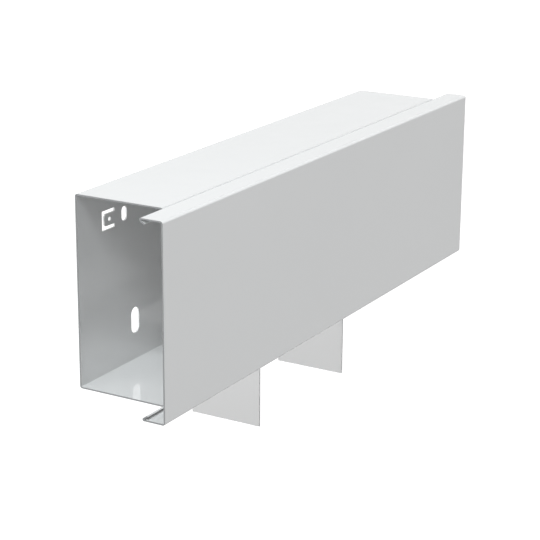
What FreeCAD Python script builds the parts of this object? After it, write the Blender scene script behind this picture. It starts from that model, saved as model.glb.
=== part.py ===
import FreeCAD, Part
import Sketcher
import math
import os

# Tee for surface-mounted steel cable trunking: a folded base channel with a branch
# window in its lower side wall, and the clip-on cover that runs past both its ends.
# X runs along the trunking, +Y points at the wall behind it, +Z is up.

doc = FreeCAD.newDocument("trunking_tee")

# Driving sizes in millimetres, angles in degrees.
SIZES = {
    "trunk_height": (100.0, "outside size across the side walls of base and cover"),
    "trunk_depth": (63.6, "back face of the base to front face of the cover"),
    "base_length": (298.0, "length of the base along the run"),
    "cover_overlap": (19.7, "length of cover past each end of the base"),
    "sheet": (0.75, "thickness of the coated steel sheet"),
    "bend_inside": (0.6, "inside radius of the main folds"),
    "lip_bend_inside": (0.2, "inside radius of the small folds of the base lips"),
    "fit_gap": (0.2, "free play between cover and base"),
    "flange_depth": (12.8, "reach of the cover's flanges behind its front face"),
    "hook_bend_inside": (0.1, "inside radius of the cover's hooked edge"),
    "hook_turn": (144.0, "angle by which the cover's edge is folded back"),
    "hook_length": (2.6, "flat length of the folded-back edge"),
    "recess_depth": (3.2, "inward step of the base's side wall under the flange"),
    "ramp_turn": (45.0, "slope of the snap ridge and of the lead-in edge"),
    "recess_width": (3.5, "room for the hooked edge between step and snap ridge"),
    "lead_in_length": (1.7, "flat length of the turned-in front edge"),
    "branch_width": (96.0, "outside size across the two branch tabs"),
    "tab_reach": (47.1, "length of the branch tabs below the base"),
    "window_front": (19.3, "front edge of the branch window behind the cover face"),
    "window_depth": (43.0, "branch window and tabs, front to back"),
    "slot_width": (7.0, "wall-fixing slot"),
    "slot_length": (14.0, "wall-fixing slot, upright"),
    "slot_inset": (47.9, "wall-fixing slot to the base's end"),
    "slot_height": (22.0, "wall-fixing slot above the lower face of the base"),
    "small_slot_width": (4.6, "upper slot"),
    "small_slot_length": (7.6, "upper slot, upright"),
    "small_slot_inset": (39.8, "upper slot to the base's end"),
    "small_slot_height": (81.0, "upper slot above the lower face of the base"),
    "blade_width": (6.3, "earth blade, the size of a push-on terminal"),
    "blade_length": (8.8, "earth blade, root to tip"),
    "blade_cut": (1.9, "width of the cut that frees the blade"),
    "blade_chamfer": (1.2, "bevel at both corners of the blade's tip"),
    "blade_root_inset": (31.4, "root of the blade to the base's end"),
    "blade_height": (81.1, "middle of the blade above the lower face of the base"),
    "blade_hole": (2.2, "diameter of the latch hole in the blade"),
    "blade_hole_inset": (4.5, "middle of the latch hole to the blade's tip"),
}

sheet = doc.addObject("Spreadsheet::Sheet", "Sizes")
for row, (alias, (value, meaning)) in enumerate(SIZES.items(), start=1):
    sheet.set(f"A{row}", alias)
    sheet.set(f"B{row}", str(value))
    sheet.setAlias(f"B{row}", alias)
    sheet.set(f"C{row}", meaning)
doc.recompute()

# Sizes that follow from the ones above.
BEND_OUTSIDE = "(Sizes.bend_inside + Sizes.sheet)"
LIP_BEND_OUTSIDE = "(Sizes.lip_bend_inside + Sizes.sheet)"
HOOK_BEND_OUTSIDE = "(Sizes.hook_bend_inside + Sizes.sheet)"
STEP_PLACE = "(Sizes.flange_depth + Sizes.fit_gap)"
RIDGE_DROP = "(Sizes.sheet + Sizes.fit_gap)"
RIDGE_RISE = f"(Sizes.recess_depth - {RIDGE_DROP})"
RAMP_HALF_TAN = "tan(Sizes.ramp_turn * 1 deg / 2)"
RAMP_RUN = f"({RIDGE_RISE} / tan(Sizes.ramp_turn * 1 deg))"
LEAD_IN_RUN = (f"((Sizes.lead_in_length + {LIP_BEND_OUTSIDE} * {RAMP_HALF_TAN})"
               " * cos(Sizes.ramp_turn * 1 deg))")
# The base's front edge stands just behind the cover, so the ridge fills what is left.
RIDGE_WIDTH = (f"({STEP_PLACE} - Sizes.recess_width - {RAMP_RUN} - {LEAD_IN_RUN}"
               " - Sizes.sheet - Sizes.fit_gap)")


def value_of(expression):
    """Present value of an expression over the sheet's cells."""
    return float(sheet.evalExpression(expression))


def origin_plane(body, role):
    """One of the three planes through the body's origin."""
    for feature in body.Origin.OriginFeatures:
        if feature.Role == role:
            return feature
    raise RuntimeError("no plane " + role)


def new_sketch(body, name, role):
    """Empty sketch on a plane of the body's origin."""
    sketch = body.newObject("Sketcher::SketchObject", name)
    sketch.AttachmentSupport = [(origin_plane(body, role), "")]
    sketch.MapMode = "FlatFace"
    return sketch


def bind(sketch, kind, *arguments, to):
    """Add a constraint whose value follows an expression."""
    value = value_of(to)
    if kind == "Angle":
        value = math.radians(value)
        to = f"({to}) * 1 deg"
    index = sketch.addConstraint(Sketcher.Constraint(kind, *arguments, value))
    sketch.setExpression(f"Constraints[{index}]", to)


def tie(sketch, kind, *arguments):
    """Add a constraint that has no value."""
    sketch.addConstraint(Sketcher.Constraint(kind, *arguments))


def solved(sketch):
    """Recompute and make sure that nothing in the sketch is left free."""
    doc.recompute()
    if sketch.solve() != 0 or not sketch.FullyConstrained:
        raise RuntimeError("sketch is not fully set: " + sketch.Name)
    return sketch


def line(sketch, start, end):
    """Straight piece of a sketch."""
    return sketch.addGeometry(Part.LineSegment(start, end))


def arc(sketch, centre, radius, begin, end):
    """Arc of a sketch, with the ends that a path from begin to end meets first and last."""
    turns_left = (begin - centre).cross(end - centre).z > 0
    first, last = (begin, end) if turns_left else (end, begin)
    angles = [math.atan2(p.y - centre.y, p.x - centre.x) for p in (first, last)]
    circle = Part.Circle(centre, FreeCAD.Vector(0, 0, 1), radius)
    index = sketch.addGeometry(Part.ArcOfCircle(circle, *angles))
    return (index, 1, 2) if turns_left else (index, 2, 1)


def turned(vector, degrees):
    """Vector turned to the left in its plane."""
    rotation = FreeCAD.Rotation(FreeCAD.Vector(0, 0, 1), degrees)
    return rotation.multVec(vector)


def folded_strip(sketch, start_across, side, legs):
    """Outline of a strip of sheet folded in the sketch's plane.

    The strip's outer face leaves the first axis at start_across, square to it. Its
    thickness lies to the left of that path (side 1) or to the right (side -1). Each
    leg is its flat length, the fold after it, positive towards the thickness, and the
    fold's inside radius; the last leg has neither.
    """
    thickness = value_of("Sizes.sheet")
    point = FreeCAD.Vector(value_of(start_across), 0, 0)
    heading = FreeCAD.Vector(0, 1, 0)
    faces = []
    folds = []
    directions = [90.0]
    for length, fold, radius in legs:
        inward = turned(heading, 90 * side)
        end = point + heading * value_of(length)
        outer = line(sketch, point, end)
        inner = line(sketch, point + inward * thickness, end + inward * thickness)
        faces.append((outer, inner, length))
        if fold is None:
            break
        closing = value_of(fold) > 0
        fold_radius = value_of(radius)
        reach = fold_radius + thickness if closing else -fold_radius
        centre = end + inward * reach
        new_heading = turned(heading, side * value_of(fold))
        new_inward = turned(new_heading, 90 * side)
        point = centre - new_inward * reach
        outer_arc = arc(sketch, centre, abs(reach), end, point)
        inner_arc = arc(sketch, centre, abs(reach - thickness),
                        end + inward * thickness, point + new_inward * thickness)
        wide, tight = (outer_arc, inner_arc) if closing else (inner_arc, outer_arc)
        folds.append((outer_arc, inner_arc, wide, tight, radius))
        heading = new_heading
        directions.append(math.degrees(math.atan2(heading.y, heading.x)))

    for number, (outer_arc, inner_arc, wide, tight, radius) in enumerate(folds):
        tie(sketch, "Coincident", outer_arc[0], 3, inner_arc[0], 3)
        bind(sketch, "Radius", tight[0], to=radius)
        bind(sketch, "Radius", wide[0], to=f"({radius}) + Sizes.sheet")
        for side_number, (index, begin, end) in enumerate((outer_arc, inner_arc)):
            tie(sketch, "Tangent", faces[number][side_number], 2, index, begin)
            tie(sketch, "Tangent", index, end, faces[number + 1][side_number], 1)

    direction = "90"
    for number, (outer, inner, length) in enumerate(faces):
        bind(sketch, "Distance", outer, to=length)
        if abs(directions[number]) in (0.0, 180.0):
            tie(sketch, "Horizontal", outer)
        elif abs(directions[number]) == 90.0:
            tie(sketch, "Vertical", outer)
        else:
            bind(sketch, "Angle", outer, to=direction)
        if number < len(folds):
            direction = f"{direction} + {side} * ({legs[number][1]})"

    for place, (outer, inner, length) in ((1, faces[0]), (2, faces[-1])):
        ends = [sketch.getPoint(index, place) for index in (outer, inner)]
        edge = line(sketch, *ends)
        tie(sketch, "Coincident", edge, 1, outer, place)
        tie(sketch, "Coincident", edge, 2, inner, place)
        tie(sketch, "Perpendicular", edge, outer)
        tie(sketch, "Parallel", inner, outer)
    tie(sketch, "PointOnObject", faces[0][0], 1, -1)
    bind(sketch, "DistanceX", -1, 1, faces[0][0], 1, to=start_across)
    return solved(sketch)


def outline(sketch, corners):
    """Closed straight-sided outline; every corner is held by two expressions."""
    points = [FreeCAD.Vector(value_of(x), value_of(y), 0) for x, y in corners]
    edges = [line(sketch, points[i - 1], points[i]) for i in range(len(points))]
    for i, edge in enumerate(edges):
        tie(sketch, "Coincident", edge, 2, edges[(i + 1) % len(edges)], 1)
        bind(sketch, "DistanceX", -1, 1, edge, 2, to=corners[i][0])
        bind(sketch, "DistanceY", -1, 1, edge, 2, to=corners[i][1])


def upright_slot(sketch, across, up, width, length):
    """Round-ended slot, longer upwards than across, around a centre."""
    middle = FreeCAD.Vector(value_of(across), value_of(up), 0)
    radius = value_of(width) / 2
    rise = FreeCAD.Vector(0, value_of(length) / 2 - radius, 0)
    aside = FreeCAD.Vector(radius, 0, 0)
    circles = [Part.Circle(middle + rise * sign, FreeCAD.Vector(0, 0, 1), radius)
               for sign in (1, -1)]
    top = sketch.addGeometry(Part.ArcOfCircle(circles[0], 0, math.pi))
    left = line(sketch, middle + rise - aside, middle - rise - aside)
    bottom = sketch.addGeometry(Part.ArcOfCircle(circles[1], math.pi, 2 * math.pi))
    right = line(sketch, middle - rise + aside, middle + rise + aside)
    tie(sketch, "Tangent", top, 2, left, 1)
    tie(sketch, "Tangent", left, 2, bottom, 1)
    tie(sketch, "Tangent", bottom, 2, right, 1)
    tie(sketch, "Tangent", right, 2, top, 1)
    tie(sketch, "Vertical", left)
    tie(sketch, "Equal", top, bottom)
    bind(sketch, "Radius", top, to=f"{width} / 2")
    bind(sketch, "Distance", left, to=f"{length} - {width}")
    bind(sketch, "DistanceX", -1, 1, top, 3, to=across)
    bind(sketch, "DistanceY", -1, 1, top, 3, to=f"{up} + ({length} - {width}) / 2")


def added(body, kind, name, profile, length):
    """Pad or Pocket of a sketch; a Pocket must take something away."""
    doc.recompute()
    before = body.Shape.Volume if body.Tip else 0.0
    feature = body.newObject(kind, name)
    feature.Profile = profile
    feature.setExpression("Length", length)
    doc.recompute()
    if abs(body.Shape.Volume - before) < 1e-6:
        raise RuntimeError("nothing changed by " + name)
    return feature


def mirrored(body, name, originals, role):
    """The same features again on the other side of a plane through the origin."""
    feature = body.newObject("PartDesign::Mirrored", name)
    feature.Originals = originals
    feature.MirrorPlane = (origin_plane(body, role), [""])
    body.Tip = feature
    doc.recompute()
    return feature


def new_body(name, label):
    """Body around the middle of the trunking's section, lifted to stand on the tabs."""
    body = doc.addObject("PartDesign::Body", name)
    body.Label = label
    body.setExpression("Placement.Base.z", "Sizes.tab_reach + Sizes.trunk_height / 2")
    doc.recompute()
    return body


# Base channel: half of the folded section, from the middle of the back wall round the
# upper side wall, down the step under the cover's flange and over the snap ridge.
base = new_body("BaseChannel", "base_channel")
base_section = folded_strip(
    new_sketch(base, "BaseSection", "YZ_Plane"), "Sizes.trunk_depth / 2", 1,
    [
        (f"Sizes.trunk_height / 2 - {BEND_OUTSIDE}", "90", "Sizes.bend_inside"),
        (f"Sizes.trunk_depth - {BEND_OUTSIDE} - {STEP_PLACE} - {LIP_BEND_OUTSIDE}",
         "90", "Sizes.lip_bend_inside"),
        (f"Sizes.recess_depth - {LIP_BEND_OUTSIDE} - Sizes.lip_bend_inside",
         "-90", "Sizes.lip_bend_inside"),
        (f"Sizes.recess_width - Sizes.lip_bend_inside * (1 + {RAMP_HALF_TAN})",
         "-Sizes.ramp_turn", "Sizes.lip_bend_inside"),
        (f"{RIDGE_RISE} / sin(Sizes.ramp_turn * 1 deg)"
         f" - (Sizes.lip_bend_inside + {LIP_BEND_OUTSIDE}) * {RAMP_HALF_TAN}",
         "Sizes.ramp_turn", "Sizes.lip_bend_inside"),
        (f"{RIDGE_WIDTH} - 2 * {LIP_BEND_OUTSIDE} * {RAMP_HALF_TAN}",
         "Sizes.ramp_turn", "Sizes.lip_bend_inside"),
        ("Sizes.lead_in_length", None, None),
    ])
base_half = added(base, "PartDesign::Pad", "BaseHalf", base_section, "Sizes.base_length")
base_half.SideType = "Symmetric"
mirrored(base, "BaseWhole", [base_half], "XY_Plane")

# Branch window in the lower side wall, cut back to the roots of the two tab folds.
WINDOW_HALF = "(Sizes.branch_width / 2 + Sizes.bend_inside)"
WINDOW_NEAR = "(Sizes.window_front - Sizes.trunk_depth / 2)"
WINDOW_FAR = f"({WINDOW_NEAR} + Sizes.window_depth)"
window_sketch = new_sketch(base, "WindowOutline", "XY_Plane")
outline(window_sketch, [
    (f"-{WINDOW_HALF}", WINDOW_NEAR),
    (WINDOW_HALF, WINDOW_NEAR),
    (WINDOW_HALF, WINDOW_FAR),
    (f"-{WINDOW_HALF}", WINDOW_FAR),
])
added(base, "PartDesign::Pocket", "Window", solved(window_sketch), "Sizes.trunk_height")

# Branch tab: half of the window's metal, folded square out of the side wall.
tab_sketch = new_sketch(base, "TabSection", "XZ_Plane")
tab_sketch.setExpression("AttachmentOffset.Base.z", f"-{WINDOW_FAR}")
FLOOR = "(-Sizes.trunk_height / 2)"
TAB_FOOT = f"({FLOOR} - Sizes.tab_reach)"
fold_centre = FreeCAD.Vector(value_of(f"-{WINDOW_HALF}"),
                             value_of(f"{FLOOR} - Sizes.bend_inside"), 0)
foot = value_of(TAB_FOOT)
up = FreeCAD.Vector(0, 1, 0)
across = FreeCAD.Vector(1, 0, 0)
radii = [value_of("Sizes.bend_inside"), value_of(BEND_OUTSIDE)]
tops = [fold_centre + up * radius for radius in radii]
sides = [fold_centre + across * radius for radius in radii]
feet = [FreeCAD.Vector(point.x, foot, 0) for point in sides]
root_edge = line(tab_sketch, *tops)
tight_arc = arc(tab_sketch, fold_centre, radii[0], tops[0], sides[0])
wide_arc = arc(tab_sketch, fold_centre, radii[1], tops[1], sides[1])
outer_side = line(tab_sketch, sides[0], feet[0])
inner_side = line(tab_sketch, sides[1], feet[1])
foot_edge = line(tab_sketch, *feet)
tie(tab_sketch, "Vertical", root_edge)
tie(tab_sketch, "Horizontal", foot_edge)
tie(tab_sketch, "Vertical", outer_side)
tie(tab_sketch, "Coincident", root_edge, 1, tight_arc[0], tight_arc[1])
tie(tab_sketch, "Coincident", root_edge, 2, wide_arc[0], wide_arc[1])
tie(tab_sketch, "Tangent", tight_arc[0], tight_arc[2], outer_side, 1)
tie(tab_sketch, "Tangent", wide_arc[0], wide_arc[2], inner_side, 1)
tie(tab_sketch, "Coincident", outer_side, 2, foot_edge, 1)
tie(tab_sketch, "Coincident", inner_side, 2, foot_edge, 2)
tie(tab_sketch, "Coincident", tight_arc[0], 3, wide_arc[0], 3)
tie(tab_sketch, "Vertical", tight_arc[0], 3, root_edge, 1)
tie(tab_sketch, "Horizontal", wide_arc[0], 3, inner_side, 1)
bind(tab_sketch, "Radius", tight_arc[0], to="Sizes.bend_inside")
bind(tab_sketch, "Radius", wide_arc[0], to=BEND_OUTSIDE)
bind(tab_sketch, "DistanceX", -1, 1, tight_arc[0], 3, to=f"-{WINDOW_HALF}")
bind(tab_sketch, "DistanceY", -1, 1, tight_arc[0], 3, to=f"{FLOOR} - Sizes.bend_inside")
bind(tab_sketch, "DistanceY", -1, 1, foot_edge, 1, to=TAB_FOOT)
tab = added(base, "PartDesign::Pad", "BranchTab", solved(tab_sketch), "Sizes.window_depth")
mirrored(base, "BranchTabs", [tab], "YZ_Plane")

# Back wall: two wall-fixing slots and a lanced earth blade, the same at both ends.
END = "(-Sizes.base_length / 2)"
slot_sketch = new_sketch(base, "SlotOutlines", "XZ_Plane")
upright_slot(slot_sketch, f"{END} + Sizes.slot_inset", f"{FLOOR} + Sizes.slot_height",
             "Sizes.slot_width", "Sizes.slot_length")
upright_slot(slot_sketch, f"{END} + Sizes.small_slot_inset",
             f"{FLOOR} + Sizes.small_slot_height",
             "Sizes.small_slot_width", "Sizes.small_slot_length")
slots = added(base, "PartDesign::Pocket", "Slots", solved(slot_sketch), "Sizes.trunk_depth")

ROOT = f"({END} + Sizes.blade_root_inset)"
TIP = f"({ROOT} - Sizes.blade_length)"
BLADE_MIDDLE = f"({FLOOR} + Sizes.blade_height)"
BLADE_HALF = "(Sizes.blade_width / 2)"
CUT_HALF = f"({BLADE_HALF} + Sizes.blade_cut)"
SHOULDER = f"({BLADE_HALF} - Sizes.blade_chamfer)"
blade_sketch = new_sketch(base, "BladeOutline", "XZ_Plane")
outline(blade_sketch, [
    (ROOT, f"{BLADE_MIDDLE} + {BLADE_HALF}"),
    (f"{TIP} + Sizes.blade_chamfer", f"{BLADE_MIDDLE} + {BLADE_HALF}"),
    (TIP, f"{BLADE_MIDDLE} + {SHOULDER}"),
    (TIP, f"{BLADE_MIDDLE} - {SHOULDER}"),
    (f"{TIP} + Sizes.blade_chamfer", f"{BLADE_MIDDLE} - {BLADE_HALF}"),
    (ROOT, f"{BLADE_MIDDLE} - {BLADE_HALF}"),
    (ROOT, f"{BLADE_MIDDLE} - {CUT_HALF}"),
    (f"{TIP} - Sizes.blade_cut", f"{BLADE_MIDDLE} - {CUT_HALF}"),
    (f"{TIP} - Sizes.blade_cut", f"{BLADE_MIDDLE} + {CUT_HALF}"),
    (ROOT, f"{BLADE_MIDDLE} + {CUT_HALF}"),
])
latch_hole = blade_sketch.addGeometry(Part.Circle(
    FreeCAD.Vector(value_of(f"{TIP} + Sizes.blade_hole_inset"), value_of(BLADE_MIDDLE), 0),
    FreeCAD.Vector(0, 0, 1), value_of("Sizes.blade_hole / 2")))
bind(blade_sketch, "Radius", latch_hole, to="Sizes.blade_hole / 2")
bind(blade_sketch, "DistanceX", -1, 1, latch_hole, 3, to=f"{TIP} + Sizes.blade_hole_inset")
bind(blade_sketch, "DistanceY", -1, 1, latch_hole, 3, to=BLADE_MIDDLE)
blade = added(base, "PartDesign::Pocket", "EarthBlade", solved(blade_sketch),
              "Sizes.trunk_depth")
mirrored(base, "BackWallOpenings", [slots, blade], "YZ_Plane")

# Clip-on cover: half of the folded section, from the middle of the front face over the
# flange to the hooked edge that lies behind the snap ridge.
cover = new_body("SnapCover", "snap_cover")
cover_section = folded_strip(
    new_sketch(cover, "CoverSection", "YZ_Plane"), "-Sizes.trunk_depth / 2", -1,
    [
        (f"Sizes.trunk_height / 2 - {BEND_OUTSIDE}", "90", "Sizes.bend_inside"),
        (f"Sizes.flange_depth - {BEND_OUTSIDE} - {HOOK_BEND_OUTSIDE}",
         "Sizes.hook_turn", "Sizes.hook_bend_inside"),
        ("Sizes.hook_length", None, None),
    ])
cover_half = added(cover, "PartDesign::Pad", "CoverHalf", cover_section,
                   "Sizes.base_length + 2 * Sizes.cover_overlap")
cover_half.SideType = "Symmetric"
mirrored(cover, "CoverWhole", [cover_half], "XY_Plane")

doc.recompute()
for item in doc.Objects:
    if "Invalid" in item.State or "Error" in item.State:
        raise RuntimeError("not computed: " + item.Name)

os.makedirs("parts", exist_ok=True)
for body in (base, cover):
    shape = body.Shape
    if shape.isNull() or not shape.isValid() or len(shape.Solids) != 1:
        raise RuntimeError("not one sound solid: " + body.Label)
    shape.exportStep(f"parts/{body.Label}.step")
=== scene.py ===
"""Finish of a cable trunking tee: white coated sheet steel, shown on a plain pale floor in soft light."""

import math

import bmesh
import bpy
from bpy.props import FloatProperty, FloatVectorProperty, PointerProperty
from mathutils import Matrix, Vector


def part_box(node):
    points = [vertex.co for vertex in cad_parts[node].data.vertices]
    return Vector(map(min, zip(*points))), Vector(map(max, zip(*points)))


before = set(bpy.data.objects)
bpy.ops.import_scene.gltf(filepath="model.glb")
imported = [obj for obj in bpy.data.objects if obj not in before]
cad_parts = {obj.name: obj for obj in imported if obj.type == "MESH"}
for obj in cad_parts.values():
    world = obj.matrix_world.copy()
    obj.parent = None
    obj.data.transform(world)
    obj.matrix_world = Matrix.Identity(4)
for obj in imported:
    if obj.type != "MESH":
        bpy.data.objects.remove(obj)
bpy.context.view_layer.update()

bl_info = {
    "name": "Cable Trunking Tee Finish",
    "version": (1, 0, 0),
    "blender": (4, 5, 0),
    "location": "3D View > Sidebar > Trunking Tee",
    "description": "White coated steel finish, pale floor, soft light and camera for a cable trunking tee",
    "category": "Material",
}

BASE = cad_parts["base_channel"]
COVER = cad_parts["snap_cover"]
BASE_LOW, BASE_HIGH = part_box("base_channel")
COVER_LOW, COVER_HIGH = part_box("snap_cover")
MILLIMETRE = 0.001
WHITE = (1.0, 1.0, 1.0, 1.0)

# How far from the plane of a cut face a point may lie, and how squarely a tab's edge has to face along Y.
END_REACH = 0.1 * MILLIMETRE
TAB_EDGE_REACH = 0.05 * MILLIMETRE
SQUARE_ON = 0.9

# Slow changes over the sheet: the coating's shade, and how much its roughness strays from the mean.
SHADE_SPACING = 110 * MILLIMETRE
SHADE_DETAIL = 3.0
DARKEST_SHADE = 0.975
ROUGHNESS_SPACING = 22 * MILLIMETRE
ROUGHNESS_DETAIL = 4.0
ROUGHNESS_STRAY = 0.06
NOISE_LOW, NOISE_HIGH = 0.3, 0.7
PEEL_DETAIL = 1.0
WAVE_DETAIL = 0.0
# Metallic share of the darker colour that the cut faces take in place of the coat.
CUT_FACE_METALLIC = 0.5

FLOOR_ROUGHNESS = 0.9
FLOOR_SHINE = 0.1

# Each softbox: the setting that holds its power, its place, its width and its height, in metres.
SOFTBOXES = (
    ("key", (-1.45, -0.22, 1.72), 0.6, 0.8),
    ("top", (0.0, 0.0, 2.0), 1.6, 1.6),
    ("front", (0.6, -2.2, 0.3), 1.6, 0.5),
    ("far", (2.3, 0.2, 0.8), 1.6, 1.2),
    ("back", (2.15, 1.25, 0.85), 2.0, 1.2),
    ("low", (-1.8, 1.6, 0.3), 1.6, 0.5),
)
SOFTBOX_AIM = (0.0, 0.0, 0.1)
SENSOR_WIDTH = 36.0
NEAREST_SEEN, FARTHEST_SEEN = 0.01, 100.0


class SheetFinishSettings(bpy.types.PropertyGroup):
    """Colours and surface texture of the coated steel sheet."""

    coat_colour: FloatVectorProperty(
        name="Coat Colour",
        description="White of the baked coating",
        subtype="COLOR",
        min=0.0,
        max=1.0,
        default=(0.663, 0.667, 0.668),
    )
    # Darker colour that the faces where the sheet was cut take in place of the coat.
    dark_cut_face_colour: FloatVectorProperty(
        name="Cut Edge Colour",
        description="Zinc-coated steel that shows where the sheet was cut",
        subtype="COLOR",
        min=0.0,
        max=1.0,
        default=(0.26, 0.265, 0.27),
    )
    coat_roughness: FloatProperty(
        name="Coat Roughness",
        description="Mean roughness of the coating under its gloss",
        subtype="FACTOR",
        min=0.05,
        max=1.0,
        default=0.36,
    )
    coat_shine: FloatProperty(
        name="Coat Shine",
        description="Specular level of the coating under its gloss",
        subtype="FACTOR",
        min=0.0,
        max=1.0,
        default=0.8,
    )
    gloss: FloatProperty(
        name="Gloss",
        description="Weight of the smooth upper skin of the coating",
        subtype="FACTOR",
        min=0.0,
        max=1.0,
        default=1.0,
    )
    gloss_roughness: FloatProperty(
        name="Gloss Roughness",
        description="Roughness of the smooth upper skin of the coating",
        subtype="FACTOR",
        min=0.0,
        max=1.0,
        default=0.015,
    )
    gloss_ior: FloatProperty(
        name="Gloss Refraction",
        description="Refraction index of the smooth upper skin of the coating",
        min=1.0,
        max=4.0,
        default=2.0,
    )
    gloss_peel: FloatProperty(
        name="Gloss Orange Peel",
        description="Share of the orange peel that is left in the smooth upper skin",
        subtype="FACTOR",
        min=0.0,
        max=1.0,
        default=0.25,
    )
    peel_spacing: FloatProperty(
        name="Orange Peel Spacing",
        description="Distance between the dimples that the coating dries with",
        unit="LENGTH",
        min=0.0001,
        default=1.6 * MILLIMETRE,
    )
    peel_depth: FloatProperty(
        name="Orange Peel Depth",
        description="Depth of the dimples in the coating",
        unit="LENGTH",
        min=0.0,
        default=0.008 * MILLIMETRE,
    )
    wave_spacing: FloatProperty(
        name="Sheet Wave Spacing",
        description="Distance between the shallow waves that rolling and folding leave in the sheet",
        unit="LENGTH",
        min=0.001,
        default=70 * MILLIMETRE,
    )
    wave_depth: FloatProperty(
        name="Sheet Wave Depth",
        description="Depth of the shallow waves in the sheet",
        unit="LENGTH",
        min=0.0,
        default=0.05 * MILLIMETRE,
    )


class StageSettings(bpy.types.PropertyGroup):
    """Floor, lights and camera."""

    floor_colour: FloatVectorProperty(
        name="Floor Colour",
        description="Colour of the floor under its white glow, dark so that it takes no shadow",
        subtype="COLOR",
        min=0.0,
        max=1.0,
        default=(0.10, 0.10, 0.10),
    )
    floor_size: FloatProperty(
        name="Floor Size", description="Side of the square floor", unit="LENGTH", default=8.0
    )
    floor_glow: FloatProperty(
        name="Floor Glow", description="Light that comes up through the floor", min=0.0, default=0.313
    )
    floor_white: FloatProperty(
        name="Floor White",
        description="Further glow that makes the floor white to the camera",
        min=0.0,
        default=0.75,
    )
    room: FloatProperty(
        name="Room Light", description="Light that the white room gives from all sides", min=0.0, default=0.084
    )
    room_mirrored: FloatProperty(
        name="Mirrored Room", description="Brightness of the white room in the gloss", min=0.0, default=0.93
    )
    key_colour: FloatVectorProperty(
        name="Key Colour",
        description="Slightly cool white of the key softbox",
        subtype="COLOR",
        min=0.0,
        max=1.0,
        default=(0.94, 0.985, 1.0),
    )
    key: FloatProperty(
        name="Key Softbox", description="Power of the lamp high beyond the near end", unit="POWER", default=48.7
    )
    top: FloatProperty(
        name="Top Softbox", description="Power of the lamp straight above", unit="POWER", default=6.7
    )
    front: FloatProperty(
        name="Front Softbox", description="Power of the lamp that faces the cover", unit="POWER", default=30.2
    )
    far: FloatProperty(
        name="Far Softbox", description="Power of the lamp beyond the far end", unit="POWER", default=20.0
    )
    back: FloatProperty(
        name="Back Softbox", description="Power of the lamp behind the far end", unit="POWER", default=8.3
    )
    low: FloatProperty(
        name="Low Softbox", description="Power of the low lamp that lights the tabs", unit="POWER", default=61.7
    )
    camera_aim: FloatVectorProperty(
        name="Camera Aim",
        description="Point that the camera looks at",
        subtype="XYZ",
        unit="LENGTH",
        default=(-0.0050, 0.0063, 0.0745),
    )
    camera_azimuth: FloatProperty(
        name="Camera Azimuth",
        description="Angle of the camera round the tee, from straight in front of the cover",
        subtype="ANGLE",
        default=math.radians(-59.97),
    )
    camera_elevation: FloatProperty(
        name="Camera Elevation",
        description="Angle of the camera above the horizon",
        subtype="ANGLE",
        default=math.radians(17.27),
    )
    camera_roll: FloatProperty(
        name="Camera Roll",
        description="Turn of the camera about its line of sight",
        subtype="ANGLE",
        default=math.radians(0.38),
    )
    camera_distance: FloatProperty(
        name="Camera Distance", description="Distance from the aim", unit="LENGTH", default=0.9515
    )
    lens: FloatProperty(
        name="Lens", description="Focal length on a 36 mm sensor", unit="CAMERA", default=114.135
    )


def shader_node(tree, kind, inputs=None, **settings):
    """Adds a node, sets its options, and sets or links each input that is named."""
    node = tree.nodes.new(kind)
    for option, value in settings.items():
        setattr(node, option, value)
    for socket, value in (inputs or {}).items():
        if isinstance(value, bpy.types.NodeSocket):
            tree.links.new(value, node.inputs[socket])
        else:
            node.inputs[socket].default_value = value
    return node


def math_node(tree, operation, *values):
    return shader_node(tree, "ShaderNodeMath", dict(enumerate(values)), operation=operation).outputs[0]


def colour_mix(tree, factor, first, second):
    """First colour where the factor is 0 and second where it is 1; colour sockets go by number."""
    return shader_node(
        tree, "ShaderNodeMix", {0: factor, 6: first, 7: second}, data_type="RGBA"
    ).outputs[2]


def near(tree, value, place, reach):
    """1 where the value lies within reach of the place, and 0 elsewhere."""
    return math_node(tree, "COMPARE", value, place, reach)


def both(tree, first, second):
    return math_node(tree, "MULTIPLY", first, second)


def any_of(tree, masks):
    found = masks[0]
    for mask in masks[1:]:
        found = math_node(tree, "MAXIMUM", found, mask)
    return found


class SheetSurface:
    """Where a point of the sheet lies and which way it faces, as sockets of a node tree."""

    def __init__(self, tree):
        self.tree = tree
        self.place = shader_node(tree, "ShaderNodeTexCoord").outputs["Object"]
        split = shader_node(tree, "ShaderNodeSeparateXYZ", {0: self.place})
        self.x, self.y, self.z = split.outputs
        facing = shader_node(tree, "ShaderNodeNewGeometry").outputs["True Normal"]
        self.facing_y = math_node(
            tree, "ABSOLUTE", shader_node(tree, "ShaderNodeSeparateXYZ", {0: facing}).outputs["Y"]
        )

    def noise(self, spacing, detail):
        texture = shader_node(
            self.tree,
            "ShaderNodeTexNoise",
            {"Vector": self.place, "Scale": 1.0 / spacing, "Detail": detail},
        )
        return texture.outputs["Fac"]


def end_faces(surface, half_length):
    """The two sawn ends of a folded sheet."""
    return near(surface.tree, math_node(surface.tree, "ABSOLUTE", surface.x), half_length, END_REACH)


def base_cut_faces(surface):
    """Cut faces of the base: its two ends and the edges of its tabs."""
    tree = surface.tree
    tab_points = [v.co for v in BASE.data.vertices if v.co.z < COVER_LOW.z / 2]
    tab_sides = [min(p.y for p in tab_points), max(p.y for p in tab_points)]
    square_on = math_node(tree, "GREATER_THAN", surface.facing_y, SQUARE_ON)
    tab_edges = any_of(tree, [near(tree, surface.y, side, TAB_EDGE_REACH) for side in tab_sides])
    tab_feet = near(tree, surface.z, BASE_LOW.z, END_REACH)
    return any_of(tree, [end_faces(surface, BASE_HIGH.x), both(tree, tab_edges, square_on), tab_feet])


def cover_cut_faces(surface):
    """Cut faces of the cover: its two ends."""
    return end_faces(surface, COVER_HIGH.x)


def relief(tree, height):
    """Normals of a surface with this height in metres."""
    return shader_node(tree, "ShaderNodeBump", {"Strength": 1.0, "Distance": 1.0, "Height": height}).outputs[0]


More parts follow.
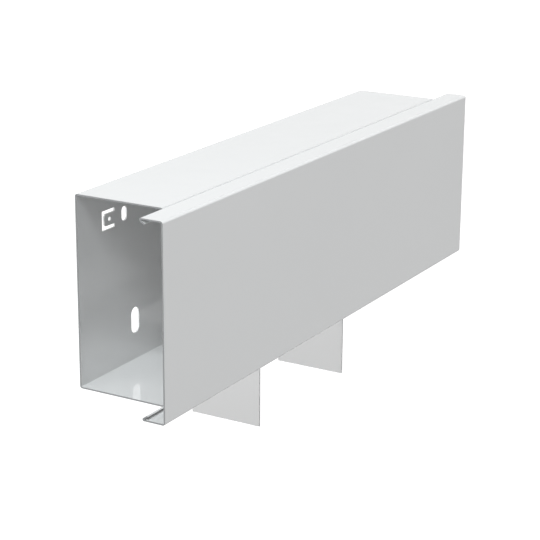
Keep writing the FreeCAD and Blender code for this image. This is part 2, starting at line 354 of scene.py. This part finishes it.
def coated_sheet(name, settings, cut_faces):
    """White coating with fine orange peel over a faintly wavy sheet, and a darker, partly metallic colour on
    the cut faces.
    """
    material = bpy.data.materials.new(name)
    material.use_nodes = True
    tree = material.node_tree
    tree.nodes.clear()
    surface = SheetSurface(tree)
    cut = cut_faces(surface)

    full = Vector(settings.coat_colour)
    shade = surface.noise(SHADE_SPACING, SHADE_DETAIL)
    coat = colour_mix(tree, shade, (*(DARKEST_SHADE * full), 1.0), (*full, 1.0))
    # The cut faces take a darker, partly metallic colour in place of the coat.
    colour = colour_mix(tree, cut, coat, (*settings.dark_cut_face_colour, 1.0))

    coat_rough = shader_node(
        tree,
        "ShaderNodeMapRange",
        {
            "Value": surface.noise(ROUGHNESS_SPACING, ROUGHNESS_DETAIL),
            "From Min": NOISE_LOW,
            "From Max": NOISE_HIGH,
            "To Min": settings.coat_roughness - ROUGHNESS_STRAY,
            "To Max": settings.coat_roughness + ROUGHNESS_STRAY,
        },
    ).outputs[0]
    wave = surface.noise(settings.wave_spacing, WAVE_DETAIL)
    peel = math_node(tree, "MULTIPLY", surface.noise(settings.peel_spacing, PEEL_DETAIL), settings.peel_depth)
    gloss_peel = math_node(tree, "MULTIPLY", peel, settings.gloss_peel)
    coat_normal = relief(tree, math_node(tree, "MULTIPLY_ADD", wave, settings.wave_depth, peel))
    gloss_normal = relief(tree, math_node(tree, "MULTIPLY_ADD", wave, settings.wave_depth, gloss_peel))
    shader = shader_node(
        tree,
        "ShaderNodeBsdfPrincipled",
        {
            "Base Color": colour,
            "Metallic": math_node(tree, "MULTIPLY", cut, CUT_FACE_METALLIC),
            "Roughness": coat_rough,
            "Specular IOR Level": settings.coat_shine,
            "Normal": coat_normal,
            "Coat Weight": settings.gloss,
            "Coat Roughness": settings.gloss_roughness,
            "Coat IOR": settings.gloss_ior,
            "Coat Normal": gloss_normal,
        },
    )
    shader_node(tree, "ShaderNodeOutputMaterial", {"Surface": shader.outputs[0]})
    return material


def floor_paper(settings):
    """Matt white floor that is lit from below, so that no shadow shows on it."""
    material = bpy.data.materials.new("floor_paper")
    material.use_nodes = True
    tree = material.node_tree
    tree.nodes.clear()
    seen = shader_node(tree, "ShaderNodeLightPath").outputs["Is Camera Ray"]
    shader = shader_node(
        tree,
        "ShaderNodeBsdfPrincipled",
        {
            "Base Color": (*settings.floor_colour, 1.0),
            "Roughness": FLOOR_ROUGHNESS,
            "Specular IOR Level": FLOOR_SHINE,
            "Emission Color": WHITE,
            "Emission Strength": math_node(
                tree, "MULTIPLY_ADD", seen, settings.floor_white, settings.floor_glow
            ),
        },
    )
    shader_node(tree, "ShaderNodeOutputMaterial", {"Surface": shader.outputs[0]})
    return material


def softbox(name, place, aim, width, height, power):
    """A rectangular lamp at a place, turned to face the aim, with no mirror image in the gloss."""
    light = bpy.data.lights.new(name, "AREA")
    light.shape = "RECTANGLE"
    light.size = width
    light.size_y = height
    light.energy = power
    lamp = bpy.data.objects.new(name, light)
    lamp.location = place
    lamp.rotation_euler = (Vector(aim) - Vector(place)).to_track_quat("-Z", "Y").to_euler()
    lamp.visible_camera = False
    lamp.visible_glossy = False
    bpy.context.scene.collection.objects.link(lamp)


class TRUNKING_OT_finish_base(bpy.types.Operator):
    """Coat the base channel and give its cut faces a darker colour"""

    bl_idname = "trunking_tee.finish_base"
    bl_label = "Finish Base Channel"

    def execute(self, context):
        material = coated_sheet("coated_base_sheet", context.scene.sheet_finish, base_cut_faces)
        for slot in BASE.material_slots:
            slot.material = material
        return {"FINISHED"}


class TRUNKING_OT_finish_cover(bpy.types.Operator):
    """Coat the clip-on cover and give its two ends a darker colour"""

    bl_idname = "trunking_tee.finish_cover"
    bl_label = "Finish Clip-on Cover"

    def execute(self, context):
        material = coated_sheet("coated_cover_sheet", context.scene.sheet_finish, cover_cut_faces)
        for slot in COVER.material_slots:
            slot.material = material
        return {"FINISHED"}


class TRUNKING_OT_build_stage(bpy.types.Operator):
    """Build the pale floor, the white room, the softboxes and the camera"""

    bl_idname = "trunking_tee.build_stage"
    bl_label = "Build Stage"

    def execute(self, context):
        settings = context.scene.tee_stage
        self.lay_floor(settings)
        self.paint_room(context.scene, settings)
        self.hang_softboxes(settings)
        self.place_camera(context.scene, settings)
        return {"FINISHED"}

    def lay_floor(self, settings):
        mesh = bpy.data.meshes.new("floor")
        bm = bmesh.new()
        bmesh.ops.create_grid(bm, x_segments=1, y_segments=1, size=settings.floor_size / 2)
        bm.to_mesh(mesh)
        bm.free()
        mesh.materials.append(floor_paper(settings))
        floor = bpy.data.objects.new("floor", mesh)
        bpy.context.scene.collection.objects.link(floor)

    def paint_room(self, scene, settings):
        world = bpy.data.worlds.new("room")
        world.use_nodes = True
        tree = world.node_tree
        tree.nodes.clear()
        path = shader_node(tree, "ShaderNodeLightPath").outputs
        mirrored = math_node(tree, "MULTIPLY", path["Is Glossy Ray"], settings.room_mirrored)
        seen = math_node(tree, "MAXIMUM", path["Is Camera Ray"], mirrored)
        strength = math_node(tree, "MAXIMUM", seen, settings.room)
        background = shader_node(tree, "ShaderNodeBackground", {"Color": WHITE, "Strength": strength})
        shader_node(tree, "ShaderNodeOutputWorld", {"Surface": background.outputs[0]})
        scene.world = world
        scene.view_settings.view_transform = "Standard"

    def hang_softboxes(self, settings):
        for name, place, width, height in SOFTBOXES:
            softbox(f"{name}_softbox", place, SOFTBOX_AIM, width, height, getattr(settings, name))
        bpy.data.lights["key_softbox"].color = settings.key_colour

    def place_camera(self, scene, settings):
        camera = bpy.data.cameras.new("camera")
        camera.sensor_width = SENSOR_WIDTH
        camera.lens = settings.lens
        camera.clip_start, camera.clip_end = NEAREST_SEEN, FARTHEST_SEEN
        holder = bpy.data.objects.new("camera", camera)
        level = math.pi / 2 - settings.camera_elevation
        turn = (
            Matrix.Rotation(settings.camera_azimuth, 4, "Z")
            @ Matrix.Rotation(level, 4, "X")
            @ Matrix.Rotation(settings.camera_roll, 4, "Z")
        )
        back = turn @ Vector((0.0, 0.0, settings.camera_distance))
        holder.matrix_world = Matrix.Translation(Vector(settings.camera_aim) + back) @ turn
        scene.collection.objects.link(holder)
        scene.camera = holder


class TRUNKING_PT_tee(bpy.types.Panel):
    """Sidebar panel of the trunking tee"""

    bl_idname = "TRUNKING_PT_tee"
    bl_label = "Trunking Tee"
    bl_space_type = "VIEW_3D"
    bl_region_type = "UI"
    bl_category = "Trunking Tee"

    def draw(self, context):
        layout = self.layout
        for group in (context.scene.sheet_finish, context.scene.tee_stage):
            box = layout.box()
            for name in group.__annotations__:
                box.prop(group, name)
        for operator in (TRUNKING_OT_finish_base, TRUNKING_OT_finish_cover, TRUNKING_OT_build_stage):
            layout.operator(operator.bl_idname)


CLASSES = (
    SheetFinishSettings,
    StageSettings,
    TRUNKING_OT_finish_base,
    TRUNKING_OT_finish_cover,
    TRUNKING_OT_build_stage,
    TRUNKING_PT_tee,
)


def register():
    for cls in CLASSES:
        bpy.utils.register_class(cls)
    bpy.types.Scene.sheet_finish = PointerProperty(type=SheetFinishSettings)
    bpy.types.Scene.tee_stage = PointerProperty(type=StageSettings)


def unregister():
    del bpy.types.Scene.tee_stage
    del bpy.types.Scene.sheet_finish
    for cls in reversed(CLASSES):
        bpy.utils.unregister_class(cls)


def main():
    register()
    bpy.ops.trunking_tee.finish_base()
    bpy.ops.trunking_tee.finish_cover()
    bpy.ops.trunking_tee.build_stage()


if __name__ == "__main__":
    main()
